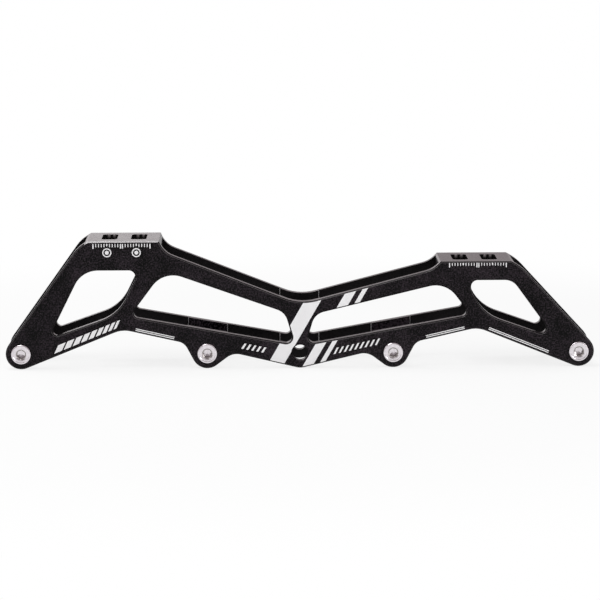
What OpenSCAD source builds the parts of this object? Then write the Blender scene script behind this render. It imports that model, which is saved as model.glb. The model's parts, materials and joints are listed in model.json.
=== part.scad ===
// Inline skate frame: a one-piece machined aluminium channel that carries its wheel axles.
// Two side walls stand on five axle lobes and are joined by a heel and a toe platform,
// to which the boot is bolted. Four screwed axles cross the channel; the middle hole is spare,
// for the larger wheels.
// X runs from heel to toe, Y across the frame and Z up. The axle heads are on the -Y side.

/* [Axle line] */
// Distance from the rearmost to the foremost axle
wheelbase = 286; // [258:1:314]
// Radius of the wall round each axle hole
lobe_r = 7.9; // [7:0.1:8.5]
// Diameter of the axle shaft, which is the bore of a wheel bearing
shaft_d = 8; // [7:0.1:8.4]
// Outer diameter of the thread at the axle's tip
thread_d = 7; // [6:0.1:7.4]
// Radial play of an axle in its hole
axle_play = 0.05; // [0.03:0.01:0.08]
// Chamfer at the mouth of each axle hole
hole_chamfer = 0.6; // [0.3:0.1:0.8]

/* [Axles] */
// Diameter of the axle's head
head_d = 10; // [9.8:0.1:11]
// Thickness of the axle's head
head_t = 1.5; // [1:0.1:3]
// Chamfer round the head's outer edge
head_chamfer = 0.35; // [0.2:0.05:0.6]
// Width across the flats of the key socket
socket_af = 4; // [3:0.5:5]
// Depth of the key socket
socket_depth = 4; // [2:0.5:6]
// Widening of the socket's mouth
socket_lead = 0.35; // [0.1:0.05:0.6]
// Distance from the far wall's face to the axle's tip inside it
tip_inset = 0.4; // [0.2:0.1:1]
// Chamfer at the axle's tip
tip_chamfer = 0.6; // [0.3:0.1:1]

/* [Channel section] */
// Space between the wheel pads, which is the length of a wheel's bearing stack
hub_gap = 24; // [22:0.5:28]
// Height of a wheel pad over the wall
pad_t = 1; // [0.5:0.1:1.5]
// Width of a wheel pad along the frame
pad_w = 20.6; // [18:0.2:24]
// Height of the end axles' pads over the axle line
pad_h = 14; // [10:0.5:18]
// Thickness of each side wall
wall_t = 4; // [3:0.25:5]
// Thickness of the platforms
platform_t = 8; // [6:0.5:10]

/* [Boot platforms] */
// Shorter distance between the boot's heel and toe bolts
mount_short = 165; // [160:1:170]
// Longer distance between the boot's heel and toe bolts
mount_long = 195; // [190:1:200]
// Distance from a bolt slot to the end of its platform's flat top
platform_rim = 6.6; // [5:0.1:9]
// Height of the heel platform over the axle line
heel_h = 58.1; // [54:0.1:62]
// Height of the toe platform over the axle line
toe_h = 46.7; // [44:0.1:50]
// Width of a bolt slot
slot_w = 8; // [6:0.5:9]
// Length of a bolt slot across the frame
slot_l = 19; // [12:0.5:20]
// Radius in the corners of a bolt slot
slot_r = 2; // [0.5:0.1:2.8]
// How far a platform runs on past its flat top towards the other one
web_inner_run = 0.8; // [0:0.1:2]
// How far a platform runs on past its flat top at the frame's end
web_outer_run = 1.6; // [0:0.1:3]

/* [Wheels] */
// Diameter of the wheels that run on three axles
big_wheel_d = 110; // [100:1:112]
// Diameter of the wheels that run on four axles
small_wheel_d = 90; // [84:1:92]
// Room between a wheel and a platform
wheel_room = 1.5; // [1:0.1:3]
// Least thickness that is left of a platform over a wheel
web_least_t = 1; // [0.5:0.1:3]

/* [Wall outline] */
// Height at which the upper rails would meet over the middle hole
valley_h = 25.1; // [22:0.1:28]
// Slope of the heel side's upper rail
heel_rail_a = 21.4; // [19:0.1:23]
// Slope of the toe side's upper rail
toe_rail_a = 14.5; // [13:0.1:16]
// Radius where the upper rails meet
valley_r = 26; // [10:1:34]
// Steepest slope behind the heel platform's front edge
heel_drop_a = 70; // [60:1:80]
// Radius from the heel platform's front edge into the rail
heel_drop_r = 12.5; // [4:0.5:13]
// Steepest slope before the toe platform's rear edge
toe_drop_a = 49; // [40:1:60]
// Radius from the toe platform's rear edge into the rail
toe_drop_r = 16; // [4:0.5:17]
// Distance from the heel platform's end to the rear leg's outer edge, run up to the platform's height
heel_leg_run = 3; // [1:0.1:6]
// Distance from the toe platform's end to the front leg's outer edge, run up to the platform's height
toe_leg_run = 2.6; // [1:0.1:6]
// Slope at which the heel platform breaks into the rear leg
heel_break_a = 30; // [20:0.5:34]
// Radius from the heel platform into the rear leg
heel_break_r = 19; // [5:1:22]
// Slope at which the toe platform breaks into the front leg
toe_break_a = 29; // [22:0.5:34]
// Radius from the toe platform into the front leg
toe_break_r = 26; // [5:1:30]
// Slope under the legs, from an end axle to the arch
leg_under_a = 22; // [20:0.1:24]
// Distance from a middle axle to the crown of the arch beside it
arch_run = 43.4; // [39:0.1:47]
// Radius of the arch's crown
arch_r = 14; // [5:0.5:18]
// Slope under the lower rail, from the arch to a middle axle
rail_under_a = 12.8; // [11:0.1:15]
// Slope of a middle lobe towards the arch
lobe_outer_a = 62; // [55:0.5:68]
// Radius from the lower rail into a middle lobe
lobe_outer_r = 6.5; // [3:0.5:8]
// Slope of a middle lobe towards the middle hole
lobe_inner_a = 36.8; // [30:0.1:42]
// Radius between a middle lobe and the keel
lobe_inner_r = 8.5; // [4:0.5:10]
// Slope of the keel on both sides of the middle hole
keel_a = 13.3; // [11:0.1:15]

/* [Windows] */
// Height at which the large windows' lower edges would meet over the middle hole
sill_h = 3.6; // [3:0.1:6]
// Slope of the large windows' lower edges
sill_a = 10.1; // [9:0.1:11.5]
// Depth of the upper rails over the middle hole
rail_depth = 7; // [6:0.1:9]
// Slope of the heel side's large window along the rail
heel_lintel_a = 19.5; // [18:0.1:21]
// Slope of the toe side's large window along the rail
toe_lintel_a = 13.5; // [12:0.1:14.5]
// Half width of the middle column at its waist
waist = 4.3; // [3:0.1:5]
// Height of the column's waist
waist_h = 9; // [7:0.1:11]
// Lean of the column's edges
column_lean = 16.4; // [12:0.2:20]
// Radius at the column's head
column_head_r = 8; // [3:0.5:10]
// Radius at the column's foot
column_foot_r = 3.1; // [1:0.1:3.4]
// Slope of the large windows' outer ends
strut_inner_a = 53.2; // [48:0.1:58]
// Distance from a platform's middle to a large window's outer end, at the strut's height
strut_inner_x = 8.3; // [6:0.1:11]
// Height at which the struts' edges are measured
strut_h = 26.5; // [24:0.1:29]
// Large radius at the top of the windows
crown_r = 13; // [6:0.5:14]
// Small radius in the large windows' outer corner
tip_r = 2.7; // [1:0.1:3.2]
// Slope of the small windows' inner ends
strut_outer_a = 64; // [60:0.1:68]
// Distance from a platform's middle to the small heel window's inner end, at the strut's height
heel_strut_x = -0.1; // [-2:0.1:3]
// Distance from a platform's middle to the small toe window's inner end, at the strut's height
toe_strut_x = 0.6; // [-2:0.1:3]
// Radius at the foot of the struts
strut_foot_r = 22; // [8:0.5:24]
// Radius at the head of the struts
strut_head_r = 3.4; // [1:0.1:4]
// Depth of wall left over the small heel window
heel_bridge = 15.1; // [12:0.1:17]
// Depth of wall left over the small toe window
toe_bridge = 9.7; // [9:0.1:12]
// Angle by which the small heel window's outer end is steeper than the rear leg
heel_window_lean = 9; // [5:0.1:12]
// Angle by which the small toe window's outer end is steeper than the front leg
toe_window_lean = 6.6; // [4:0.1:10]
// Width of the rear leg beside its window, along the frame at the strut's height
heel_leg_w = 14.2; // [12:0.1:17]
// Width of the front leg beside its window, along the frame at the strut's height
toe_leg_w = 12.9; // [11:0.1:16]
// Radius at the top of the small toe window's outer end
toe_crown_r = 8; // [4:0.5:10]
// Height at which the small heel window's sill would cross the rear axle
heel_sill_h = 2.8; // [1:0.1:4]
// Height at which the small toe window's sill would cross the front axle
toe_sill_h = 2.3; // [1:0.1:4]
// Slope of the small windows' sills
end_sill_a = 19.4; // [17:0.1:21]
// Radius in the small heel window's outer corner
heel_tip_r = 2.3; // [1:0.1:3]
// Radius in the small toe window's outer corner
toe_tip_r = 2.8; // [1:0.1:3.2]

/* [Hidden] */
$fn = 96;
// How far a cut runs past the face it opens
eps = 0.01;
// How far a round corner overlaps its edges, and what cuts a corner's tip the tip itself
round_overlap = 0.005;
tip_margin = 0.4;
// Share of an edge that the rounds at its ends may take up
edge_fill = 0.95;
// How far the middle axles' pads run past the windows' lower edges
pad_over = 1;
channel_w = hub_gap + 2 * (pad_t + wall_t);
inner_w = channel_w - 2 * wall_t;
axle_z = lobe_r;
axle_xs = [for (i = [0 : 3]) wheelbase * (i / 3 - 1 / 2)];
hole_xs = concat(axle_xs, 0);
platform_x = (mount_short + mount_long) / 4;
platform_l = (mount_long - mount_short) / 2 + slot_w + 2 * platform_rim;
slot_xs = [for (side = [-1, 1], pitch = [mount_short, mount_long]) side * pitch / 2];
heel_tip = -platform_x - platform_l / 2;
toe_tip = platform_x + platform_l / 2;
heel_leg_a = leg_slope(heel_tip - heel_leg_run - axle_xs[0], heel_h);
toe_leg_a = leg_slope(axle_xs[3] - toe_tip - toe_leg_run, toe_h);
arch_x = axle_xs[2] + arch_run;
bore_r = shaft_d / 2 + axle_play;
tapped_r = thread_d / 2 + axle_play;
big = 2 * wheelbase;

// An edge is [x, z, heading, radius]: a point on it, the way it runs and the round at its far end.
function edge(x, z, heading, radius) = [x, z, heading, radius];

// Edge that touches the lobe at station x and runs on along the heading
function lobe_edge(x, heading, radius) =
    edge(x + lobe_r * sin(heading), -lobe_r * cos(heading), heading, radius);

// Slope of a leg that touches an end lobe and, inwards of its axle, passes a point at a height
function leg_slope(inwards, height) =
    atan2(height, inwards) - asin(lobe_r / norm([inwards, height]));

// Distance inwards of the end axle at which such a leg's outer edge passes the strut's height
function leg_inwards(slope) = strut_h / tan(slope) - lobe_r / sin(slope);

function along(e) = [cos(e[2]), sin(e[2])];

function cross_of(a, b) = a[0] * b[1] - a[1] * b[0];

// Point where an edge meets the next one
function meet(e, f) =
    let (
        gap = [f[0] - e[0], f[1] - e[1]],
        t = cross_of(gap, along(f)) / cross_of(along(e), along(f))
    )
    [e[0], e[1]] + t * along(e);

// Angle by which an outline turns from an edge to the next one, positive to the left
function turn(e, f) = atan2(cross_of(along(e), along(f)), along(e) * along(f));

// Length of edge that a corner's round takes up
function reach(e, f, radius) = radius * tan(abs(turn(e, f)) / 2);

// Round corner between an edge and the next: its tip, start, end, centre, radius and turn
function corner(e, f, radius) =
    let (
        tip = meet(e, f),
        start = tip - reach(e, f, radius) * along(e),
        inward = sign(turn(e, f)) * [-along(e)[1], along(e)[0]]
    )
    [tip, start, tip + reach(e, f, radius) * along(f), start + radius * inward, radius, turn(e, f)];

// Corners of an outline, each round made smaller where the edges beside it are too short
function corners_of(edges) =
    let (
        count = len(edges),
        after = [for (i = [0 : count - 1]) edges[(i + 1) % count]],
        tips = [for (i = [0 : count - 1]) meet(edges[i], after[i])],
        takes = [for (i = [0 : count - 1]) reach(edges[i], after[i], edges[i][3]) + crossing(edges[i][3])],
        room = [
            for (i = [0 : count - 1])
                let (before = (i + count - 1) % count)
                edge_fill * norm(tips[i] - tips[before]) / max(takes[i] + takes[before], eps)
        ]
    )
    [
        for (i = [0 : count - 1])
            let (fit = min(1, room[i], room[(i + 1) % count]))
            corner(edges[i], after[i], fit * edges[i][3])
    ];

// Length along an edge from where a round touches it to where its overlap ends
function crossing(radius) = sqrt(2 * radius * round_overlap);

// Outline drawn as straight edges with true round corners. It is cut from a sharp outline,
// whose inner corners are first filled along a chord. Each round overlaps both its edges
// slightly, so that it crosses them instead of only touching.
module rounded(edges) {
    corners = corners_of(edges);
    difference() {
        polygon([for (c = corners) each c[5] < 0 ? [c[1], c[2]] : [c[0]]]);
        for (c = corners)
            if (c[4] > 0)
                difference() {
                    corner_space(c);
                    if (c[5] > 0)
                        corner_circle(c);
                }
    }
}

module corner_circle(c) {
    translate(c[3])
        circle(c[4] + round_overlap);
}

// What a round is cut with: the whole circle in an inner corner, the corner's tip in an outer one
module corner_space(c) {
    chord = (c[2] - c[1]) / norm(c[2] - c[1]);
    outward = (c[0] - c[3]) / norm(c[0] - c[3]);
    if (c[5] < 0)
        corner_circle(c);
    else
        polygon([c[1] - tip_margin * chord, c[0] + tip_margin * outward, c[2] + tip_margin * chord]);
}

// Outline of a side wall, measured from the middle hole, running left to right along the bottom
module wall_outline() {
    heel_front = -platform_x + platform_l / 2;
    toe_rear = platform_x - platform_l / 2;
    crown_h = (axle_xs[3] - arch_x) * tan(leg_under_a) - lobe_r / cos(leg_under_a);
    rounded([
        lobe_edge(axle_xs[0], leg_under_a, arch_r),
        edge(-arch_x, crown_h, -rail_under_a, lobe_outer_r),
        lobe_edge(axle_xs[1], -lobe_outer_a, lobe_r),
        lobe_edge(axle_xs[1], lobe_inner_a, lobe_inner_r),
        lobe_edge(0, -keel_a, lobe_r),
        lobe_edge(0, keel_a, lobe_inner_r),
        lobe_edge(axle_xs[2], -lobe_inner_a, lobe_r),
        lobe_edge(axle_xs[2], lobe_outer_a, lobe_outer_r),
        edge(arch_x, crown_h, rail_under_a, arch_r),
        lobe_edge(axle_xs[3], -leg_under_a, lobe_r),
        lobe_edge(axle_xs[3], 180 - toe_leg_a, toe_break_r),
        edge(toe_tip, toe_h, 180 - toe_break_a, 0),
        edge(toe_tip, toe_h, 180, 0),
        edge(toe_rear, toe_h, 180 + toe_drop_a, toe_drop_r),
        edge(0, valley_h, 180 + toe_rail_a, valley_r),
        edge(0, valley_h, 180 - heel_rail_a, heel_drop_r),
        edge(heel_front, heel_h, 180 - heel_drop_a, 0),
        edge(heel_front, heel_h, 180, 0),
        edge(heel_tip, heel_h, 180 + heel_break_a, heel_break_r),
        lobe_edge(axle_xs[0], 180 + heel_leg_a, lobe_r)
    ]);
}

// Small window in the rear leg
module heel_window() {
    outer_x = axle_xs[0] + leg_inwards(heel_leg_a) + heel_leg_w;
    rounded([
        edge(axle_xs[0], heel_sill_h, end_sill_a, strut_foot_r),
        edge(-platform_x + heel_strut_x, strut_h, strut_outer_a, strut_head_r),
        edge(0, heel_h - heel_bridge, 180, crown_r),
        edge(outer_x, strut_h, 180 + heel_leg_a + heel_window_lean, heel_tip_r)
    ]);
}

// Small window in the front leg
module toe_window() {
    outer_x = axle_xs[3] - leg_inwards(toe_leg_a) - toe_leg_w;
    rounded([
        edge(axle_xs[3], toe_sill_h, -end_sill_a, toe_tip_r),
        edge(outer_x, strut_h, 180 - toe_leg_a - toe_window_lean, toe_crown_r),
        edge(0, toe_h - toe_bridge, 180, strut_head_r),
        edge(platform_x + toe_strut_x, strut_h, -strut_outer_a, strut_foot_r)
    ]);
}

// Large window between the rails on the heel side
module heel_rail_window() {
    rounded([
        edge(0, sill_h, -sill_a, column_foot_r),
        edge(-waist, waist_h, 90 + column_lean, column_head_r),
        edge(0, valley_h - rail_depth, 180 - heel_lintel_a, crown_r),
        edge(-platform_x + strut_inner_x, strut_h, 180 + strut_inner_a, tip_r)
    ]);
}

// Large window between the rails on the toe side
module toe_rail_window() {
    rounded([
        edge(0, sill_h, sill_a, tip_r),
        edge(platform_x - strut_inner_x, strut_h, 180 - strut_inner_a, crown_r),
        edge(0, valley_h - rail_depth, 180 + toe_lintel_a, column_head_r),
        edge(waist, waist_h, 270 - column_lean, column_foot_r)
    ]);
}

module wall_profile() {
    difference() {
        wall_outline();
        heel_window();
        heel_rail_window();
        toe_rail_window();
        toe_window();
    }
}

// Space swept by the wheels, with room round them
module wheel_space() {
    for (i = [0 : 3])
        translate([axle_xs[i], 0])
            circle((i == 0 || i == 3 ? big_wheel_d : small_wheel_d) / 2 + wheel_room);
}

// Section of a platform between the walls from a start and under a top, arched over the wheels
module web(start, top) {
    run = platform_l + web_inner_run + web_outer_run;
    difference() {
        translate([start, top - platform_t])
            square([run, 2 * platform_t]);
        difference() {
            wheel_space();
            translate([start - eps, top - web_least_t])
                square([run + 2 * eps, big]);
        }
    }
}

module web_section() {
    web(heel_tip - web_outer_run, heel_h);
    web(platform_x - platform_l / 2 - web_inner_run, toe_h);
}

// Bands along the frame in which the walls thicken into wheel pads
module pad_bands() {
    middle_pad_h = heel_h;
    rail_pad_h = sill_h + (axle_xs[2] + pad_w / 2) * tan(sill_a) + pad_over;
    heights = [pad_h, rail_pad_h, rail_pad_h, pad_h, middle_pad_h];
    for (i = [0 : len(hole_xs) - 1])
        translate([hole_xs[i] - pad_w / 2, -big / 2])
            square([pad_w, big / 2 + heights[i]]);
}

// Everything between the walls that is cut away
module cavity_section() {
    difference() {
        square(big, center = true);
        web_section();
    }
}

// Upright plate of a given width across the frame, on the axle line
module across(width) {
    translate([0, width / 2, axle_z])
        rotate([90, 0, 0])
            linear_extrude(width)
                children();
}

// Round hole along Y from one place to another
module hole_y(x, from, to, r_from, r_to) {
    translate([x, from, axle_z])
        rotate([-90, 0, 0])
            cylinder(h = to - from, r1 = r_from, r2 = r_to);
}

// Holes for one axle: a plain bore in the near wall and a tapped hole in the far wall
module axle_holes(x) {
    outer = channel_w / 2;
    hole_y(x, -outer - eps, 0, bore_r, bore_r);
    hole_y(x, 0, outer + eps, tapped_r, tapped_r);
    hole_y(x, -outer - eps, -outer + hole_chamfer, bore_r + hole_chamfer + eps, bore_r);
    hole_y(x, outer - hole_chamfer, outer + eps, tapped_r, tapped_r + hole_chamfer + eps);
}

// Slot through a platform for a boot bolt, long across the frame
module bolt_slot(x) {
    translate([x, 0, 0])
        linear_extrude(big)
            union() {
                square([slot_w, slot_l - 2 * slot_r], center = true);
                square([slot_w - 2 * slot_r, slot_l], center = true);
                for (side = [-1, 1], end = [-1, 1])
                    translate([side * (slot_w / 2 - slot_r), end * (slot_l / 2 - slot_r)])
                        circle(slot_r);
            }
}

module frame_channel() {
    color("#1d1c1e")
        difference() {
            across(channel_w) wall_profile();
            across(hub_gap) cavity_section();
            across(inner_w)
                difference() {
                    cavity_section();
                    pad_bands();
                }
            for (x = hole_xs)
                axle_holes(x);
            for (x = slot_xs)
                bolt_slot(x);
        }
}

// One axle in the channel at a station: head, shaft through the wheel and threaded tip
module axle(x) {
    seat = -channel_w / 2;
    shoulder = hub_gap / 2;
    tip = channel_w / 2 - tip_inset;
    face = seat - head_t;
    socket_r = socket_af / 2 / cos(30);
    color("silver")
        translate([x, 0, axle_z])
            rotate([-90, 0, 0])
                difference() {
                    rotate_extrude()
                        polygon([
                            [0, face],
                            [head_d / 2 - head_chamfer, face],
                            [head_d / 2, face + head_chamfer],
                            [head_d / 2, seat],
                            [shaft_d / 2, seat],
                            [shaft_d / 2, shoulder],
                            [thread_d / 2, shoulder],
                            [thread_d / 2, tip - tip_chamfer],
                            [thread_d / 2 - tip_chamfer, tip],
                            [0, tip]
                        ]);
                    translate([0, 0, face - eps])
                        cylinder(h = socket_depth + eps, r = socket_r, $fn = 6);
                    translate([0, 0, face - eps])
                        cylinder(h = socket_lead + eps, r1 = socket_r + socket_lead, r2 = socket_r);
                }
}

module rear_axle() axle(axle_xs[0]);
module rear_middle_axle() axle(axle_xs[1]);
module front_middle_axle() axle(axle_xs[2]);
module front_axle() axle(axle_xs[3]);

frame_channel();
rear_axle();
rear_middle_axle();
front_middle_axle();
front_axle();
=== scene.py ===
# %% [markdown]
# # Inline skate frame
# A skate frame is the channel under an inline skate's boot. It is milled from one bar of aluminium,
# anodised black and printed in white. Four bright axles cross it, each screwed into the far wall.
# The CAD model fixes every size and every joint. This file only dresses it: it loads that model,
# builds finer pieces on the same measures and lets each ride on the body that it belongs to.

# %% Load the fixed frame
import json
import math

import bmesh
import bpy
from mathutils import Matrix, Vector

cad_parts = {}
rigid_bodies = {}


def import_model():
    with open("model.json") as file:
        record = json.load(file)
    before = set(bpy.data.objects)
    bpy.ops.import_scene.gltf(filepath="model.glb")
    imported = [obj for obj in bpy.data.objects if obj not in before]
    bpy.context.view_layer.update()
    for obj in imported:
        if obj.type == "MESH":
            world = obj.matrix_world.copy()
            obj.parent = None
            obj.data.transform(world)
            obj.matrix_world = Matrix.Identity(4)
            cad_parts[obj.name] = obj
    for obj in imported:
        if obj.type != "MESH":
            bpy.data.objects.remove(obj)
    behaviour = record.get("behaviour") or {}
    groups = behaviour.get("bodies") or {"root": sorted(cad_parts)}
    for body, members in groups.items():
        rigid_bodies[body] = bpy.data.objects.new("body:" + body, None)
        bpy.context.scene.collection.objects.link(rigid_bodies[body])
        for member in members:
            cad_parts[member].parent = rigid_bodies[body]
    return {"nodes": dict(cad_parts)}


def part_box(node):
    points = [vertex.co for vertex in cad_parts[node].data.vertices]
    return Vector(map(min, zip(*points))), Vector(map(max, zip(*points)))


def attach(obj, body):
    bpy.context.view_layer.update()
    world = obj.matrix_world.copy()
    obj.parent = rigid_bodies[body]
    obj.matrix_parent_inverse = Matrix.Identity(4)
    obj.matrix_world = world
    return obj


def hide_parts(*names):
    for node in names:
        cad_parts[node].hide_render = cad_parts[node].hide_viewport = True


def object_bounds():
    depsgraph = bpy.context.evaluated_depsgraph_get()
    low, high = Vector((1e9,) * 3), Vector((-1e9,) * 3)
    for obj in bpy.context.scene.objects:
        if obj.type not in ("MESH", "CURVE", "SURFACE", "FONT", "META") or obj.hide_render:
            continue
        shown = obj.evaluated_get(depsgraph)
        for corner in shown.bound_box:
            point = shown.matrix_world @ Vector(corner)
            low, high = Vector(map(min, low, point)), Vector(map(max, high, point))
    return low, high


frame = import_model()
cad_low, cad_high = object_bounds()
MM = 0.001
print("CAD box in mm:", [round(side / MM, 1) for side in cad_high - cad_low])

# %% [markdown]
# ## Measures taken from the CAD model
# Finishes have to land on the real edges, so the wall's faces, the two platform tops and the axle
# stations are read from the loaded nodes. X runs from heel to toe, Y across the frame and Z up. The
# near wall, with the axle heads, is the one at -Y. The bolt slots stand at half of the boot's two
# mounting lengths, 165 and 195 mm.

# %% Read walls, platforms and axle stations
AXLE_BODIES = {
    "rear_axle": "rear_axle_body",
    "rear_middle_axle": "rear_middle_axle_body",
    "front_middle_axle": "front_middle_axle_body",
    "front_axle": "front_axle_body",
}
SLOT_X = (165 / 2 * MM, 195 / 2 * MM)
channel_mesh = frame["nodes"]["frame_channel"].data
_, channel_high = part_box("frame_channel")
wall_y = channel_high.y
heel_top = channel_high.z
toe_top = max(v.co.z for v in channel_mesh.vertices if v.co.x > 0)


def station(node):
    """Middle of an axle along the frame."""
    low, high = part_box(node)
    return (low.x + high.x) / 2


axle_x = {node: station(node) for node in AXLE_BODIES}
axle_z = sum(corner.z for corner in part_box("rear_axle")) / 2
hole_x = [*axle_x.values(), 0.0]
print("platform tops in mm:", round(heel_top / MM, 1), round(toe_top / MM, 1))
print("axle stations in mm:", [round(x / MM, 1) for x in axle_x.values()])

# %% [markdown]
# ## Shared surface effects
# Two effects appear on several materials, so each is a node group that is built once. Grain is the
# fine mottling that bead blasting leaves under an anodised coat, and that ink and plating show too.
# Turning is the row of fine rings that a cutter leaves on turned metal or in a tapped hole.
# Both use object coordinates, so they stay put on the piece when it moves.


# %% Helpers for node trees
def add_node(tree, kind, **settings):
    """New shader node of a kind, with its settings."""
    node = tree.nodes.new("ShaderNode" + kind)
    for name, value in settings.items():
        setattr(node, name, value)
    return node


def feed(tree, socket, value):
    """Links a socket to another one, or sets it to a plain value."""
    if isinstance(value, bpy.types.NodeSocket):
        tree.links.new(value, socket)
    else:
        socket.default_value = value


def calculate(tree, operation, first, second=0.0):
    """Output of a math node on two sockets or numbers."""
    node = add_node(tree, "Math", operation=operation)
    feed(tree, node.inputs[0], first)
    feed(tree, node.inputs[1], second)
    return node.outputs[0]


def place_on(tree, space="Object"):
    """Outputs X, Y and Z of a point's place, in object or other coordinates."""
    split = add_node(tree, "SeparateXYZ")
    feed(tree, split.inputs[0], add_node(tree, "TexCoord").outputs[space])
    return split.outputs


def new_group(name, inputs, outputs):
    """Empty node group with named sockets, and its input and output nodes."""
    tree = bpy.data.node_groups.new(name, "ShaderNodeTree")
    for label, kind, value in inputs:
        socket = tree.interface.new_socket(label, in_out="INPUT", socket_type="NodeSocket" + kind)
        socket.default_value = value
    for label, kind in outputs:
        tree.interface.new_socket(label, in_out="OUTPUT", socket_type="NodeSocket" + kind)
    return tree, tree.nodes.new("NodeGroupInput").outputs, tree.nodes.new("NodeGroupOutput").inputs


# %% Grain group
GREY = (0.5, 0.5, 0.5, 1.0)
SPECK_DETAIL = 3.0
CLOUD_SCALE = 90.0
CLOUD_SHARE = 0.35
NOISE_MEAN = 0.5

grain, given, result = new_group(
    "grain",
    [("Colour", "Color", GREY), ("Grains per metre", "Float", 1500.0), ("Contrast", "Float", 0.3),
     ("Roughness", "Float", 0.4), ("Roughness change", "Float", 0.1)],
    [("Colour", "Color"), ("Roughness", "Float"), ("Height", "Float")],
)
spot = add_node(grain, "TexCoord").outputs["Object"]
speck = add_node(grain, "TexNoise")
feed(grain, speck.inputs["Vector"], spot)
feed(grain, speck.inputs["Scale"], given["Grains per metre"])
feed(grain, speck.inputs["Detail"], SPECK_DETAIL)
cloud = add_node(grain, "TexNoise")
feed(grain, cloud.inputs["Vector"], spot)
feed(grain, cloud.inputs["Scale"], CLOUD_SCALE)
uneven = calculate(grain, "MULTIPLY", cloud.outputs["Fac"], CLOUD_SHARE)
mixed = calculate(grain, "ADD", calculate(grain, "SUBTRACT", speck.outputs["Fac"], NOISE_MEAN),
                  calculate(grain, "SUBTRACT", uneven, CLOUD_SHARE * NOISE_MEAN))
shade = add_node(grain, "VectorMath", operation="SCALE")
feed(grain, shade.inputs[0], given["Colour"])
gain = calculate(grain, "ADD", calculate(grain, "MULTIPLY", mixed, given["Contrast"]), 1.0)
feed(grain, shade.inputs["Scale"], calculate(grain, "MAXIMUM", gain, 0.0))
feed(grain, result["Colour"], shade.outputs[0])
change = calculate(grain, "MULTIPLY", mixed, given["Roughness change"])
feed(grain, result["Roughness"], calculate(grain, "ADD", change, given["Roughness"]))
feed(grain, result["Height"], speck.outputs["Fac"])
print("group grain:", len(grain.nodes), "nodes")

# %% Turning group
turning, given, result = new_group(
    "turning",
    [("Rings per metre", "Float", 4000.0), ("Across the face", "Float", 1.0)],
    [("Height", "Float")],
)
place = place_on(turning)
squares = [calculate(turning, "POWER", calculate(turning, "ABSOLUTE", place[axis]), 2.0)
           for axis in ("X", "Z")]
radius = calculate(turning, "SQRT", calculate(turning, "ADD", *squares))
path = calculate(turning, "ADD", calculate(turning, "MULTIPLY", radius, given["Across the face"]),
                 place["Y"])
rings_passed = calculate(turning, "MULTIPLY", path, given["Rings per metre"])
phase = calculate(turning, "MULTIPLY", rings_passed, 2 * math.pi)
feed(turning, result["Height"], calculate(turning, "SINE", phase))
print("group turning:", len(turning.nodes), "nodes")

# %% [markdown]
# ## Materials
# Anodised aluminium is a dark, slightly rough coat on a blasted surface. It is near black face on
# and reflects like any clear coat at a low angle, which is what turns the platform tops grey in a
# bright studio. The axles are steel, with plated heads, punched sockets and ground shafts. The print
# is a thin white ink. Pictures of such surfaces would blur close by, so the patterns are worked out
# instead: each material keeps its own Principled shader and takes colour, roughness and bump from
# the groups.


# %% Helpers for materials
def new_material(name, colour, grain_values, bumps, **plain):
    """Principled material with grain and plain values.

    The colour is three numbers or a function that builds it. A bump is a height maker, a distance
    and a strength.
    """
    material = bpy.data.materials.new(name)
    material.use_nodes = True
    tree = material.node_tree
    shader = tree.nodes["Principled BSDF"]
    for label, value in plain.items():
        shader.inputs[label.replace("_", " ")].default_value = value
    surface = add_node(tree, "Group", node_tree=grain)
    feed(tree, surface.inputs["Colour"], colour(tree) if callable(colour) else (*colour, 1.0))
    for label, value in grain_values.items():
        feed(tree, surface.inputs[label], value)
    feed(tree, shader.inputs["Base Color"], surface.outputs["Colour"])
    feed(tree, shader.inputs["Roughness"], surface.outputs["Roughness"])
    normal = None
    for make_height, distance, strength in bumps:
        bump = add_node(tree, "Bump")
        feed(tree, bump.inputs["Height"], make_height(tree, surface))
        feed(tree, bump.inputs["Distance"], distance)
        feed(tree, bump.inputs["Strength"], strength)
        if normal is not None:
            feed(tree, bump.inputs["Normal"], normal)
        normal = bump.outputs["Normal"]
    feed(tree, shader.inputs["Normal"], normal)
    print("material", name, "with", len(tree.nodes), "nodes")
    return material


def grain_height(tree, surface):
    """Height of the grain that the surface already has."""
    return surface.outputs["Height"]


def ring_height(rings, across):
    """Maker of a ring height, with so many rings per metre, across a face or only along the axis."""
    def make(tree, surface):
        rows = add_node(tree, "Group", node_tree=turning)
        feed(tree, rows.inputs["Rings per metre"], rings)
        feed(tree, rows.inputs["Across the face"], across)
        return rows.outputs["Height"]
    return make


# %% Coats of the channel
BLACK = (0.0094, 0.0070, 0.0089)
# The inner faces are darker than the outer wall: painted shade between the walls, over a real milled
# grain.
INSIDE_SHADE = (0.0050, 0.0042, 0.0046)
EDGE = (0.0085, 0.0070, 0.0078)
# Light grey for the chamfers at the heel platform's top and the pads' ends: a painted highlight.
HIGHLIGHT_GREY = (0.42, 0.40, 0.41)
BLAST = {"Grains per metre": 1300.0, "Contrast": 13.0, "Roughness": 0.30, "Roughness change": 0.2}
BROKEN = {"Grains per metre": 1900.0, "Contrast": 1.5, "Roughness": 0.25, "Roughness change": 0.2}
MILLED = {"Grains per metre": 900.0, "Contrast": 2.0, "Roughness": 0.35, "Roughness change": 0.2}
COAT_GLOSS = 0.10
BARE_GLOSS = 0.5
THREAD_PITCH = 1.0 * MM
GRAIN_DEPTH = 0.02 * MM
BLAST_BUMP = [(grain_height, GRAIN_DEPTH, 0.15)]
FINE_BUMP = [(grain_height, GRAIN_DEPTH, 0.1)]
THREAD_BUMP = [(ring_height(1 / THREAD_PITCH, 0.0), 0.25 * MM, 1.0)]

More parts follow.
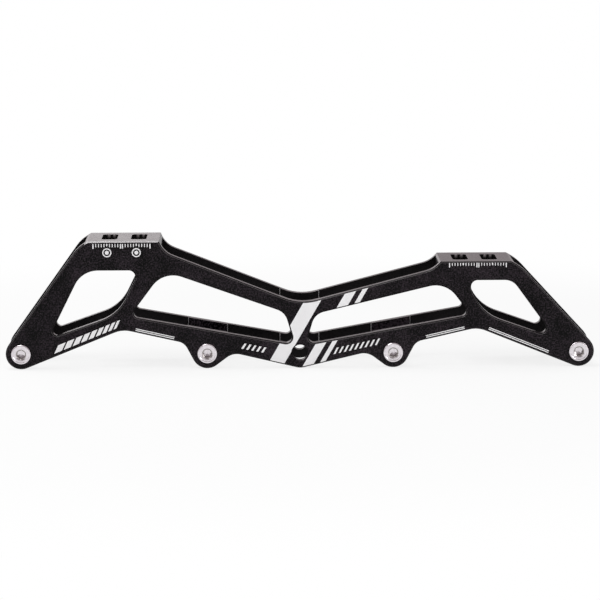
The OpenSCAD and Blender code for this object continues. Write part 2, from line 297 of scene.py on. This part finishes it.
anodised = new_material("black_anodised", BLACK, BLAST, BLAST_BUMP, Specular_IOR_Level=COAT_GLOSS)
broken_edge = new_material("anodised_edge", EDGE, BROKEN, FINE_BUMP, Specular_IOR_Level=COAT_GLOSS)
painted_highlight_edge = new_material("painted_highlight_edge", HIGHLIGHT_GREY, BROKEN, FINE_BUMP, Specular_IOR_Level=BARE_GLOSS)
inside = new_material("anodised_inside_shade", INSIDE_SHADE, MILLED, FINE_BUMP, Specular_IOR_Level=COAT_GLOSS)
tapped = new_material("tapped_anodised", BLACK, BLAST, THREAD_BUMP, Specular_IOR_Level=COAT_GLOSS)

# %% [markdown]
# ### Painted highlights
# An edge that faces up has a painted highlight, a fine light line beside the wall's outer face. The
# slot walls have two painted highlight streaks just under the platform's top, fading with depth.
# Both could be cut as faces of their own, but their borders are soft. They depend only on where a
# point lies on the channel, so the colour is worked out from its place.


# %% Helpers for painted highlights
def ramp(tree, value, start, end, first=0.0, last=1.0, kind="SMOOTHSTEP"):
    """Value that runs from first to last while another one runs from start to end."""
    node = add_node(tree, "MapRange", interpolation_type=kind)
    feed(tree, node.inputs["Value"], value)
    for label, number in (("From Min", start), ("From Max", end), ("To Min", first), ("To Max", last)):
        feed(tree, node.inputs[label], number)
    return node.outputs["Result"]


def blended(tree, factor, first, second):
    """Colour between two others."""
    tone = add_node(tree, "Mix", data_type="RGBA")
    feed(tree, tone.inputs["Factor"], factor)
    feed(tree, tone.inputs["A"], (*first, 1.0))
    feed(tree, tone.inputs["B"], (*second, 1.0))
    return tone.outputs["Result"]


# %% Painted highlight on upward edges
# Light line at the outer arris of chamfers that face up: a painted highlight.
ARRIS_HIGHLIGHT = (0.115, 0.104, 0.108)
ARRIS = 0.12 * MM
ARRIS_FADE = 0.04 * MM


def painted_arris_highlight(tree):
    """Colour of a chamfer, with a painted highlight line where it meets the wall's outer face."""
    across = calculate(tree, "ABSOLUTE", place_on(tree)["Y"])
    border = wall_y - ARRIS
    highlighted = ramp(tree, across, border - ARRIS_FADE, border + ARRIS_FADE)
    return blended(tree, highlighted, EDGE, ARRIS_HIGHLIGHT)


arris_highlight_edge = new_material("arris_highlight_edge", painted_arris_highlight, BROKEN, FINE_BUMP, Specular_IOR_Level=COAT_GLOSS)

# %% Painted highlights in the slots
# Light streaks in the slot walls, fading with depth: painted highlights.
SLOT_HIGHLIGHT = (0.27, 0.24, 0.245)
STREAKS = (-1.0 * MM, 1.85 * MM)
STREAK_W = 1.1 * MM
STREAK_DEPTH = 2.4 * MM
SLOT_BUMP = [(grain_height, GRAIN_DEPTH, 0.2)]


def painted_slot_streaks(tree):
    """Colour of a bolt slot's walls, with two painted highlight streaks that fade below the platform's
    top.
    """
    place = place_on(tree)
    side = calculate(tree, "SIGN", place["X"])
    pitch = SLOT_X[1] - SLOT_X[0]
    past = calculate(tree, "SUBTRACT", calculate(tree, "ABSOLUTE", place["X"]), SLOT_X[0] - pitch / 2)
    outward = calculate(tree, "SUBTRACT", calculate(tree, "MODULO", past, pitch), pitch / 2)
    along = calculate(tree, "MULTIPLY", outward, side)
    step = calculate(tree, "MULTIPLY", side, (toe_top - heel_top) / 2)
    top = calculate(tree, "ADD", step, (toe_top + heel_top) / 2)
    depth = calculate(tree, "SUBTRACT", top, place["Z"])
    streaks = []
    for centre in STREAKS:
        aside = calculate(tree, "ABSOLUTE", calculate(tree, "SUBTRACT", along, centre))
        streaks.append(ramp(tree, aside, 0.0, STREAK_W, 1.0, 0.0))
    shown = ramp(tree, depth, 0.0, STREAK_DEPTH, 1.0, 0.0)
    streak_light = calculate(tree, "MULTIPLY", calculate(tree, "ADD", *streaks), shown)
    return blended(tree, streak_light, INSIDE_SHADE, SLOT_HIGHLIGHT)


slot_highlight = new_material("slot_painted_highlight", painted_slot_streaks, BROKEN, SLOT_BUMP, Specular_IOR_Level=COAT_GLOSS)

# %% Steel of the axles
STEEL = (0.75, 0.71, 0.74)
# Darker grey for the key sockets: painted shade in the recess, with a rougher finish that is real.
SOCKET_SHADE = (0.34, 0.32, 0.31)
PLATE = {"Grains per metre": 700.0, "Contrast": 0.5, "Roughness": 0.16, "Roughness change": 0.25}
GROUND = {"Grains per metre": 700.0, "Contrast": 0.12, "Roughness": 0.18, "Roughness change": 0.06}
PUNCHED = {"Grains per metre": 1200.0, "Contrast": 0.6, "Roughness": 0.4, "Roughness change": 0.2}
TOOL_MARKS = (ring_height(5500.0, 1.0), 0.004 * MM, 0.6)
PLATE_BUMP = (grain_height, GRAIN_DEPTH, 0.2)
PUNCHED_BUMP = (grain_height, 0.03 * MM, 0.4)

plated = new_material("plated_steel", STEEL, PLATE, [TOOL_MARKS, PLATE_BUMP], Metallic=1.0)
ground = new_material("ground_steel", STEEL, GROUND, [TOOL_MARKS], Metallic=1.0)
socket_shaded = new_material("punched_steel_shade", SOCKET_SHADE, PUNCHED, [PUNCHED_BUMP], Metallic=1.0)

# %% Ink of the print
WHITE = (0.86, 0.85, 0.86)
SCREENED = {"Grains per metre": 2600.0, "Contrast": 0.10, "Roughness": 0.55, "Roughness change": 0.10}
INK_BUMP = [(grain_height, 0.01 * MM, 0.25)]
INK_GLOSS = 0.3

ink = new_material("white_ink", WHITE, SCREENED, INK_BUMP, Specular_IOR_Level=INK_GLOSS)

# %% [markdown]
# ## The channel
# The real channel has every outer edge of its walls broken by a small chamfer, and a smaller one at
# the ends of its wheel pads. Most of them stay black. Those that face up carry a painted highlight
# line, and the heel platform's upper edge and the pads' ends are painted light grey as highlights.
# Chamfers could be modelled one by one, but a bevel on the CAD mesh itself follows its edges exactly.
# First its triangles are dissolved into flat faces, so that the bevel only meets real edges. The
# mouths of the axle holes have their chamfer in the CAD model already, so they are left out.

# %% Helpers for meshes
WELD = 1e-6
NEAR = 10 * WELD
SMOOTH_BELOW = math.radians(24)
FLAT_FACES_FIRST = 80


def new_piece(name, mesh, material, body, place=None, smooth=True):
    """Object from a mesh, flat or smooth up to an angle, that rides on a body."""
    if smooth:
        mesh.shade_smooth()
        mesh.set_sharp_from_angle(angle=SMOOTH_BELOW)
    if not mesh.materials:
        mesh.materials.append(material)
    piece = bpy.data.objects.new(name, mesh)
    bpy.context.scene.collection.objects.link(piece)
    if place is not None:
        piece.matrix_world = place
    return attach(piece, body)


def even_shading(piece):
    """Keeps large flat faces flat beside round ones."""
    weighted = piece.modifiers.new("even_shading", "WEIGHTED_NORMAL")
    weighted.keep_sharp = True
    weighted.weight = FLAT_FACES_FIRST


# %% Copy the channel
FLAT = math.radians(0.3)
CHANNEL_FINISHES = (anodised, tapped, broken_edge, inside, painted_highlight_edge, slot_highlight, arris_highlight_edge)

shell = bmesh.new()
shell.from_mesh(channel_mesh)
bmesh.ops.remove_doubles(shell, verts=shell.verts[:], dist=WELD)
bmesh.ops.dissolve_limit(shell, angle_limit=FLAT, verts=shell.verts[:], edges=shell.edges[:])


def paint(face, finish):
    """Gives a face of the channel one of its finishes."""
    face.material_index = CHANNEL_FINISHES.index(finish)


def hole_distance(point):
    """Distance from a point to the nearest axle hole's axis."""
    return min(math.hypot(point.x - x, point.z - axle_z) for x in hole_x)


print("channel in flat faces:", len(shell.faces))

# %% Chamfer its edges
SHARP = math.radians(20)
CHAMFER = 0.65 * MM
PAD_CHAMFER = 0.25 * MM
PAD_Y = 12.0 * MM
HOLE_MOUTH = 5.2 * MM


def is_sharp(edge):
    """True for an edge between two faces that meet at an angle."""
    return len(edge.link_faces) == 2 and edge.calc_face_angle() > SHARP


def on_outer_face(edge):
    """True for an edge of an outer wall face that isn't an axle hole's."""
    middle = (edge.verts[0].co + edge.verts[1].co) / 2
    outside = all(abs(v.co.y - math.copysign(wall_y, middle.y)) < NEAR for v in edge.verts)
    return outside and hole_distance(middle) > HOLE_MOUTH


def ends_pad(edge):
    """True for an upright edge at the end of a wheel pad."""
    first, second = (v.co for v in edge.verts)
    upright = abs(first.x - second.x) < NEAR and abs(first.y - second.y) < NEAR
    return upright and abs(abs(first.y) - PAD_Y) < NEAR


def chamfered(edges, offset):
    """Faces of a flat chamfer along edges."""
    return bmesh.ops.bevel(shell, geom=edges, offset=offset, offset_type="OFFSET", segments=1,
                           profile=0.5, affect="EDGES", clamp_overlap=False)["faces"]


# The pads' end chamfers are painted light grey as a highlight.
pad_edges = [edge for edge in shell.edges if is_sharp(edge) and ends_pad(edge)]
for face in chamfered(pad_edges, PAD_CHAMFER):
    paint(face, painted_highlight_edge)
outer_edges = [edge for edge in shell.edges if is_sharp(edge) and on_outer_face(edge)]
chamfers = chamfered(outer_edges, CHAMFER)
shell.normal_update()
print("edges chamfered:", len(outer_edges), "outside and", len(pad_edges), "of pads")

# %% Finish the channel
TAPPED_R = 3.8 * MM
TAPPED_FROM = 11.5 * MM
SLOT_HALF_X, SLOT_HALF_Y = 4.1 * MM, 9.6 * MM
FACING = 0.999
FACING_UP = 0.05


def in_slot(point):
    """True for a point inside a bolt slot's outline."""
    aside = min(abs(abs(point.x) - x) for x in SLOT_X)
    return aside < SLOT_HALF_X and abs(point.y) < SLOT_HALF_Y


for face in shell.faces:
    centre = face.calc_center_median()
    if hole_distance(centre) < TAPPED_R and centre.y > TAPPED_FROM:
        paint(face, tapped)
    # Slot walls get painted highlight streaks.
    elif in_slot(centre) and abs(face.normal.z) < 1 - FACING:
        paint(face, slot_highlight)
    # Inner faces get the darker colour, which is painted shade.
    elif abs(face.normal.y) > FACING and abs(centre.y) < wall_y - CHAMFER:
        paint(face, inside)
# Chamfers at the heel platform's top are painted light grey as a highlight, those facing up get a painted
# highlight line, and the rest stay black.
for face in chamfers:
    if max(v.co.z for v in face.verts) > heel_top - WELD:
        paint(face, painted_highlight_edge)
    else:
        paint(face, arris_highlight_edge if face.normal.z > FACING_UP else broken_edge)
body_mesh = bpy.data.meshes.new("frame_body")
shell.to_mesh(body_mesh)
shell.free()
for finish in CHANNEL_FINISHES:
    body_mesh.materials.append(finish)
frame_body = new_piece("frame_body", body_mesh, anodised, "channel")
even_shading(frame_body)
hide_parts("frame_channel")
print("frame body:", len(body_mesh.polygons), "faces")

# %% [markdown]
# ## The white print
# Screen printing lays a flat film of ink on the wall. It could be a colour in the wall's material, but
# the print has sharp borders and is a layer of its own, so it is made of thin pieces. The large bars
# run over the wall's edges. They are cut from a copy of the wall's flat face, and so they end where it
# ends. All other marks lie clear of the edges and are drawn as plain faces. Each film then gets a
# thickness, which makes it a closed piece.

# %% Helpers for print
INK_T = 0.04 * MM
INK_SUNK = 0.01 * MM
OUTWARD = 1.0
ink_y = -(wall_y - INK_SUNK)


def on_wall(x, z):
    """Point of the near wall, from millimetres along the frame and over the axle line."""
    return Vector((x * MM, ink_y, z * MM + axle_z))


def film(name, sheet):
    """Closed ink film from a flat sheet, riding on the channel."""
    bmesh.ops.remove_doubles(sheet, verts=sheet.verts[:], dist=WELD)
    mesh = bpy.data.meshes.new(name)
    sheet.to_mesh(mesh)
    sheet.free()
    piece = new_piece(name, mesh, ink, "channel", smooth=False)
    thick = piece.modifiers.new("ink_thickness", "SOLIDIFY")
    thick.thickness = INK_T
    thick.offset = OUTWARD
    print(name, "film with", len(mesh.polygons), "faces")
    return piece


def drawn(name, outlines):
    """Film of plain faces, each an outline of wall points given counter-clockwise from the near side."""
    sheet = bmesh.new()
    for outline in outlines:
        sheet.faces.new([sheet.verts.new(on_wall(*point)) for point in outline])
    return film(name, sheet)


# %% [markdown]
# ### Bolt scales and ring marks
# Beside each slot the wall has a scale, so that a boot can be set at the same place again: ten ticks,
# the outer two longer and wider, and a small pointer in the middle. A ring with a dot marks each of
# the heel's slots. They are regular, so two loops draw them from their pitch and radii.

# %% Bolt scales
# A scale's top, then the width and length of its ticks and of its end ticks.
SCALES = {"heel": (56.8, (0.42, 1.7), (0.56, 2.4)), "toe": (46.0, (0.37, 1.45), (0.50, 2.3))}
SCALE_X = (-98.4, -83.4, 83.4, 98.4)
TICK_PITCH = 1.4
TICK_SIDE = 5
POINTER_W, POINTER_H, POINTER_TIP = 0.65, 0.8, 1.4


def tick(x, top, width, height):
    """Upright bar."""
    return [(x - width / 2, top - height), (x + width / 2, top - height),
            (x + width / 2, top), (x - width / 2, top)]


def scale(x, top, short, long):
    """Ticks of one scale round a slot's middle."""
    rows = []
    for step in range(-TICK_SIDE, TICK_SIDE + 1):
        if step == 0:
            bar = tick(x, top, POINTER_W, POINTER_H)
            rows.append([(x, top - POINTER_TIP), *bar[1:], bar[0]])
        else:
            end = abs(step) == TICK_SIDE
            rows.append(tick(x + step * TICK_PITCH, top, *(long if end else short)))
    return rows


ticks = [row for x in SCALE_X for row in scale(x, *SCALES["heel" if x < 0 else "toe"])]
drawn("bolt_scales", ticks)

# %% Ring marks
RING_Z = 52.25
RING_OUTER, RING_INNER, DOT_R = 2.3, 1.75, 1.0
RING_STEPS = 48


def around(x, z, r, step):
    """Point on a circle, by its step."""
    angle = 2 * math.pi * step / RING_STEPS
    return x + r * math.cos(angle), z + r * math.sin(angle)


def ring(x, z):
    """Ring in short pieces, with a dot in its middle."""
    pieces = [[around(x, z, RING_INNER, i), around(x, z, RING_OUTER, i),
               around(x, z, RING_OUTER, i + 1), around(x, z, RING_INNER, i + 1)]
              for i in range(RING_STEPS)]
    return pieces + [[around(x, z, DOT_R, i) for i in range(RING_STEPS)]]


drawn("ring_marks", [piece for x in SCALE_X if x < 0 for piece in ring(x, RING_Z)])

# %% [markdown]
# ### Slanted bars and pinstripes
# A plain decoration for a sports part: parallel bars that all lean one way. A broad one crosses the
# middle column, two narrower ones cross the rails in front of it, and rows of small ones run along
# the rear leg and the lower rails. Where the wall is too narrow for bars, thin double lines follow the
# arches and the front leg. A bar is a few corners moved along a slope, so functions work them out.


# %% Broad bars, cut from the wall's face
BAR_SLOPE = math.radians(60)
COLUMN_Z = 12.0
COLUMN_BARS = [(-6.4, 2.0), (12.2, 17.2), (20.0, 22.4)]
COLUMN_SPAN = (-12.0, 34.0)


def near_face():
    """The near wall's flat face as triangles."""
    sheet = bmesh.new()
    sheet.from_mesh(body_mesh)
    other = [face for face in sheet.faces
             if face.normal.y > -FACING or abs(face.calc_center_median().y + wall_y) > NEAR]
    bmesh.ops.delete(sheet, geom=other, context="FACES")
    bmesh.ops.triangulate(sheet, faces=sheet.faces[:])
    for vert in sheet.verts:
        vert.co.y = ink_y
    for face in sheet.faces:
        face.smooth = False
        face.material_index = 0
    return sheet


def cut_out(wall_sheet, outline):
    """Part of a wall sheet inside a convex outline given counter-clockwise from the near side."""
    sheet = wall_sheet.copy()
    for start, end in zip(outline, outline[1:] + outline[:1]):
        outward = Vector((end[1] - start[1], 0.0, start[0] - end[0]))
        bmesh.ops.bisect_plane(sheet, geom=sheet.verts[:] + sheet.edges[:] + sheet.faces[:], dist=WELD,
                               plane_co=on_wall(*start), plane_no=outward, clear_outer=True)
    return sheet


def cut(name, outlines):
    """Film cut from the near face, one part for each outline."""
    wall_sheet = near_face()
    whole = bmesh.new()
    for outline in outlines:
        part = cut_out(wall_sheet, outline)
        mesh = bpy.data.meshes.new("part")
        part.to_mesh(mesh)
        part.free()
        whole.from_mesh(mesh)
        bpy.data.meshes.remove(mesh)
    wall_sheet.free()
    return film(name, whole)


def leaning(x0, x1, z_ref, low, high):
    """Bar between two positions at a height, cut off level at two others."""
    run = 1 / math.tan(BAR_SLOPE)
    shift_low, shift_high = (low - z_ref) * run, (high - z_ref) * run
    return [(x0 + shift_low, low), (x1 + shift_low, low), (x1 + shift_high, high), (x0 + shift_high, high)]


cut("column_bars", [leaning(x0, x1, COLUMN_Z, *COLUMN_SPAN) for x0, x1 in COLUMN_BARS])

# %% Rows of small bars
# A row's start, slope in degrees and height, the widths of its bars and the gap between them.
LEG_WIDTHS = [3.9 - 0.3 * i for i in range(9)]
RAIL_BAR_W = 1.05
BAR_ROWS = [
    ((-126.0, 0.2), 22.2, 3.5, LEG_WIDTHS, 0.95),
    ((-30.3, 2.3), -11.0, 3.0, [RAIL_BAR_W] * 5, 1.5),
    ((17.0, -0.9), 12.0, 3.0, [RAIL_BAR_W] * 9, 1.6),
]


def row_of_bars(start, slope, height, widths, gap):
    """Bars in a row that climbs at a slope from a start point, with given widths and gaps."""
    climb = math.tan(math.radians(slope))
    lean = height / math.tan(BAR_SLOPE)
    bars, x = [], 0.0
    for width in widths:
        low = [(start[0] + dx, start[1] + dx * climb) for dx in (x, x + width)]
        high = [(px + lean, pz + height + lean * climb) for px, pz in reversed(low)]
        bars.append(low + high)
        x += width + gap
    return bars


drawn("row_bars", [bar for row in BAR_ROWS for bar in row_of_bars(*row)])

# %% Pinstripes
STRIPE_W = 0.42
STRIPE_STEP = 0.85
STRIPES = [((-84.3, 12.1), (-64.6, 7.6)), ((64.6, 7.6), (84.3, 12.1)), ((96.6, 11.7), (127.4, -0.7))]


def stripe(start, end, offset):
    """Line of a stripe's width, moved square to itself."""
    along = (Vector(end) - Vector(start)).normalized()
    across = Vector((-along.y, along.x))
    low, high = across * (offset - STRIPE_W / 2), across * (offset + STRIPE_W / 2)
    return [tuple(Vector(start) + low), tuple(Vector(end) + low),
            tuple(Vector(end) + high), tuple(Vector(start) + high)]


drawn("pinstripes", [stripe(*ends, offset) for ends in STRIPES for offset in (0.0, STRIPE_STEP)])

# %% [markdown]
# ## The axles
# An axle is a turned steel bolt: a low plated head with a punched key socket, a ground shaft on which
# the wheel's bearings sit, and a thread at the tip. It could be joined from cylinders, but those would
# leave inner faces. So it is lofted as one skin from rings of points, from the socket's bottom out
# over the head and along the shaft to the tip. The thread is a real helix, because a ring's points may
# have different radii. All four axles share the mesh and ride on their own bodies.

# %% Rings of an axle
# All in millimetres. A profile's steps are a radius and a depth under the face, or a way along the
# shaft from the seat and a cut into it.
AROUND = 96
HEAD_R, SHAFT_R, THREAD_R, ROOT_R = 5.0, 4.0, 3.5, 3.1
FACE_Y, SEAT_Y, SHOULDER_Y, TIP_Y = -18.5, -17.0, 12.0, 16.6
SOCKET_FLAT, SOCKET_LEAD, SOCKET_DEPTH, SOCKET_POINT = 2.0, 0.35, 4.0, 0.5
DISH = 0.18
HEAD_PROFILE = [(3.3, 0.1), (4.05, 0.1), (4.15, 0.03), (4.25, 0.0), (4.55, 0.0), (4.79, 0.07),
                (4.94, 0.22), (HEAD_R, 0.4)]
NECK_PROFILE = [(0.0, 0.15), (0.5, 0.15), (0.65, 0.0)]
SEAT_CHAMFER, SHOULDER_CHAMFER, TIP_CHAMFER = 0.12, 0.3, 0.6
PITCH = THREAD_PITCH / MM
LOOPS_PER_PITCH = 10
FLANK = 1.25


def circle_ring(y, r):
    """Ring of one radius."""
    return y, [r] * AROUND


def hexagon_ring(y, flat):
    """Ring with the radii of a hexagon."""
    sixth = 2 * math.pi / 6
    angles = [2 * math.pi * i / AROUND for i in range(AROUND)]
    return y, [flat / math.cos((a + sixth / 2) % sixth - sixth / 2) for a in angles]


def thread_ring(y):
    """Ring through a helical thread, which runs out at its shoulder."""
    runout = min(1.0, (y - SHOULDER_Y) / PITCH)
    radii = []
    for i in range(AROUND):
        turn = (y / PITCH - i / AROUND) % 1.0
        crest = min(1.0, FLANK * abs(2 * turn - 1))
        radii.append(THREAD_R - (THREAD_R - ROOT_R) * (1 - crest) * runout)
    return y, radii


mouth_r = SOCKET_FLAT / math.cos(math.pi / 6) + SOCKET_LEAD
head_rings = [
    hexagon_ring(FACE_Y + SOCKET_DEPTH, SOCKET_FLAT),
    hexagon_ring(FACE_Y + DISH + SOCKET_LEAD, SOCKET_FLAT),
    circle_ring(FACE_Y + DISH, mouth_r),
    *[circle_ring(FACE_Y + sunk, r) for r, sunk in HEAD_PROFILE],
    circle_ring(SEAT_Y - SEAT_CHAMFER, HEAD_R),
    circle_ring(SEAT_Y, HEAD_R - SEAT_CHAMFER),
]
shaft_rings = [
    *[circle_ring(SEAT_Y + way, SHAFT_R - depth) for way, depth in NECK_PROFILE],
    circle_ring(SHOULDER_Y - SHOULDER_CHAMFER, SHAFT_R),
    circle_ring(SHOULDER_Y, SHAFT_R - SHOULDER_CHAMFER),
    circle_ring(SHOULDER_Y, THREAD_R),
]
thread_length = TIP_Y - TIP_CHAMFER - SHOULDER_Y
loops = round(thread_length / PITCH * LOOPS_PER_PITCH)
thread_rings = [thread_ring(SHOULDER_Y + thread_length * (i + 1) / loops) for i in range(loops)]
tip_rings = [circle_ring(TIP_Y, THREAD_R - TIP_CHAMFER)]
axle_rings = head_rings + shaft_rings + thread_rings + tip_rings
print("rings of an axle:", len(axle_rings))

# %% Loft the axle
AXLE_FINISHES = (plated, socket_shaded, ground)
SOCKET_STRIPS = 2
HEAD_STRIPS = len(head_rings) - 1


def strip_finish(strip):
    """Finish of a strip between two rings, counted from the socket's bottom."""
    if strip < SOCKET_STRIPS:
        return socket_shaded
    return plated if strip < HEAD_STRIPS else ground


axle_skin = bmesh.new()
lofted = []
for y, radii in axle_rings:
    lofted.append([
        axle_skin.verts.new((r * MM * math.cos(2 * math.pi * i / AROUND), y * MM,
                             r * MM * math.sin(2 * math.pi * i / AROUND)))
        for i, r in enumerate(radii)
    ])
for strip, (first, second) in enumerate(zip(lofted, lofted[1:])):
    for i in range(AROUND):
        j = (i + 1) % AROUND
        face = axle_skin.faces.new([first[i], first[j], second[j], second[i]])
        face.material_index = AXLE_FINISHES.index(strip_finish(strip))
socket_bottom = FACE_Y + SOCKET_DEPTH + SOCKET_POINT
for loop, y, finish in ((lofted[0], socket_bottom, plated), (lofted[-1], TIP_Y, ground)):
    pole = axle_skin.verts.new((0.0, y * MM, 0.0))
    for i in range(AROUND):
        face = axle_skin.faces.new([loop[i], loop[(i + 1) % AROUND], pole])
        face.material_index = AXLE_FINISHES.index(finish)
bmesh.ops.recalc_face_normals(axle_skin, faces=axle_skin.faces[:])
axle_mesh = bpy.data.meshes.new("axle")
axle_skin.to_mesh(axle_mesh)
axle_skin.free()
for finish in AXLE_FINISHES:
    axle_mesh.materials.append(finish)
print("axle mesh:", len(axle_mesh.polygons), "faces")

# %% Place four axles
SOCKET_TURNS = {"rear_axle": 8, "rear_middle_axle": 31, "front_middle_axle": 47, "front_axle": 19}
for node, body in AXLE_BODIES.items():
    spot = Matrix.Translation((axle_x[node], 0.0, axle_z))
    turned = spot @ Matrix.Rotation(math.radians(SOCKET_TURNS[node]), 4, "Y")
    axle = new_piece("plated_" + node, axle_mesh, plated, body, turned)
    even_shading(axle)
    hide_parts(node)
    print(axle.name, "rides on", body)

# %% [markdown]
# ## Studio
# The frame stands on a pale floor under soft lamps. A white background could come from more light, but
# that would wash out the black metal. So the world and the floor look white to the camera and in
# reflections, which Light Path tells apart from the light that they give. Reflections show the room
# darker towards the front and slightly warm. The floor keeps part of its own shading near the frame,
# and so its shadow.

# %% World
WORLD_LIGHT = 0.42
FRONT_SHOWN = 0.3
FRONT_Y, BACK_Y = -0.9, 0.4
PLAIN, BLUSH = (1.0, 1.0, 1.0), (1.0, 0.90, 0.92)
scene = bpy.context.scene
world = bpy.data.worlds.new("studio")
scene.world = world
world.use_nodes = True
tree = world.node_tree
seen = add_node(tree, "LightPath").outputs
background = tree.nodes["Background"]
heading = place_on(tree, "Generated")["Y"]
room = ramp(tree, heading, FRONT_Y, BACK_Y, FRONT_SHOWN, 1.0, kind="LINEAR")
mirrored = calculate(tree, "MAXIMUM", seen["Is Glossy Ray"], seen["Is Transmission Ray"])
shown = calculate(tree, "MAXIMUM", seen["Is Camera Ray"], calculate(tree, "MULTIPLY", mirrored, room))
other = calculate(tree, "MULTIPLY", calculate(tree, "SUBTRACT", 1.0, mirrored), WORLD_LIGHT)
feed(tree, background.inputs["Color"], blended(tree, mirrored, PLAIN, BLUSH))
feed(tree, background.inputs["Strength"], calculate(tree, "MAXIMUM", shown, other))
print("world light:", WORLD_LIGHT)

# %% Floor
FLOOR_SIZE = 12.0
FLOOR_DROP = 0.1 * MM
FLOOR_COLOUR = (0.88, 0.88, 0.88, 1.0)
FLOOR_SHOWN = 0.80
FADE_FROM, FADE_TO = 0.20, 0.42
floor_mesh = bpy.data.meshes.new("floor")
half = FLOOR_SIZE / 2
floor_mesh.from_pydata([(-half, -half, 0), (half, -half, 0), (half, half, 0), (-half, half, 0)], [],
                       [(0, 1, 2, 3)])
floor = bpy.data.objects.new("floor", floor_mesh)
floor.location.z = cad_low.z - FLOOR_DROP
scene.collection.objects.link(floor)
floor_material = bpy.data.materials.new("pale_floor")
floor_material.use_nodes = True
tree = floor_material.node_tree
tree.nodes.remove(tree.nodes["Principled BSDF"])
matt = add_node(tree, "BsdfDiffuse")
feed(tree, matt.inputs["Color"], FLOOR_COLOUR)
glow = add_node(tree, "Emission")
paths = add_node(tree, "LightPath").outputs
blend = add_node(tree, "MixShader")
shown = calculate(tree, "MAXIMUM", paths["Is Camera Ray"], paths["Is Glossy Ray"])
distance = add_node(tree, "VectorMath", operation="LENGTH")
feed(tree, distance.inputs[0], add_node(tree, "TexCoord").outputs["Object"])
fade = ramp(tree, distance.outputs["Value"], FADE_FROM, FADE_TO, FLOOR_SHOWN, 1.0)
feed(tree, blend.inputs["Fac"], calculate(tree, "MULTIPLY", shown, fade))
feed(tree, blend.inputs[1], matt.outputs[0])
feed(tree, blend.inputs[2], glow.outputs[0])
feed(tree, tree.nodes["Material Output"].inputs["Surface"], blend.outputs[0])
floor_mesh.materials.append(floor_material)
print("floor of", FLOOR_SIZE, "m")

# %% Lamps
# Each lamp: name, place, size along and across, and brightness of its surface.
LAMPS = [
    ("top_softbox", (-0.30, -0.02, 0.80), (0.70, 0.34), 5.0),
    ("left_softbox", (-0.85, -0.45, 0.55), (0.45, 0.45), 1.5),
    ("back_softbox", (-0.42, 1.20, 0.32), (0.70, 0.50), 1.0),
    ("right_fill", (0.75, -0.75, 0.35), (0.40, 0.40), 8.0),
]
AIM = Vector((0.0, 0.0, 0.03))
for name, place, size, brightness in LAMPS:
    lamp = bpy.data.lights.new(name, "AREA")
    lamp.shape = "RECTANGLE"
    lamp.size, lamp.size_y = size
    lamp.energy = math.pi * size[0] * size[1] * brightness
    holder = bpy.data.objects.new(name, lamp)
    holder.location = place
    holder.rotation_euler = (AIM - holder.location).to_track_quat("-Z", "Y").to_euler()
    holder.visible_camera = False
    scene.collection.objects.link(holder)
    print(name, "with", round(lamp.energy, 2), "W")

# %% [markdown]
# ## Camera
# The photograph was taken from about a metre and a half away with a long lens, nine degrees above the
# axles and almost square to the side. These values were found by matching the axle heads, platform
# corners and windows of the model to the picture.

# %% Place the camera
DISTANCE = 1.45154
ELEVATION, YAW, ROLL = (math.radians(angle) for angle in (9.0728, -0.9155, -0.1857))
LENS, SENSOR = 168.312, 36.0
TARGET = Vector((0.2057 * MM, 0.0, 24.627 * MM + axle_z))

back = Vector((math.sin(YAW) * math.cos(ELEVATION), -math.cos(YAW) * math.cos(ELEVATION),
               math.sin(ELEVATION)))
right = Vector((0, 0, 1)).cross(back).normalized()
up = back.cross(right)
tilted_right = right * math.cos(ROLL) + up * math.sin(ROLL)
tilted_up = up * math.cos(ROLL) - right * math.sin(ROLL)
camera_data = bpy.data.cameras.new("camera")
camera_data.sensor_width = SENSOR
camera_data.lens = LENS
camera = bpy.data.objects.new("camera", camera_data)
turned = Matrix((tilted_right, tilted_up, back)).transposed().to_4x4()
camera.matrix_world = Matrix.Translation(TARGET + back * DISTANCE) @ turned
scene.collection.objects.link(camera)
scene.camera = camera
scene.view_settings.view_transform = "Standard"
print("camera at", [round(v, 3) for v in camera.location])
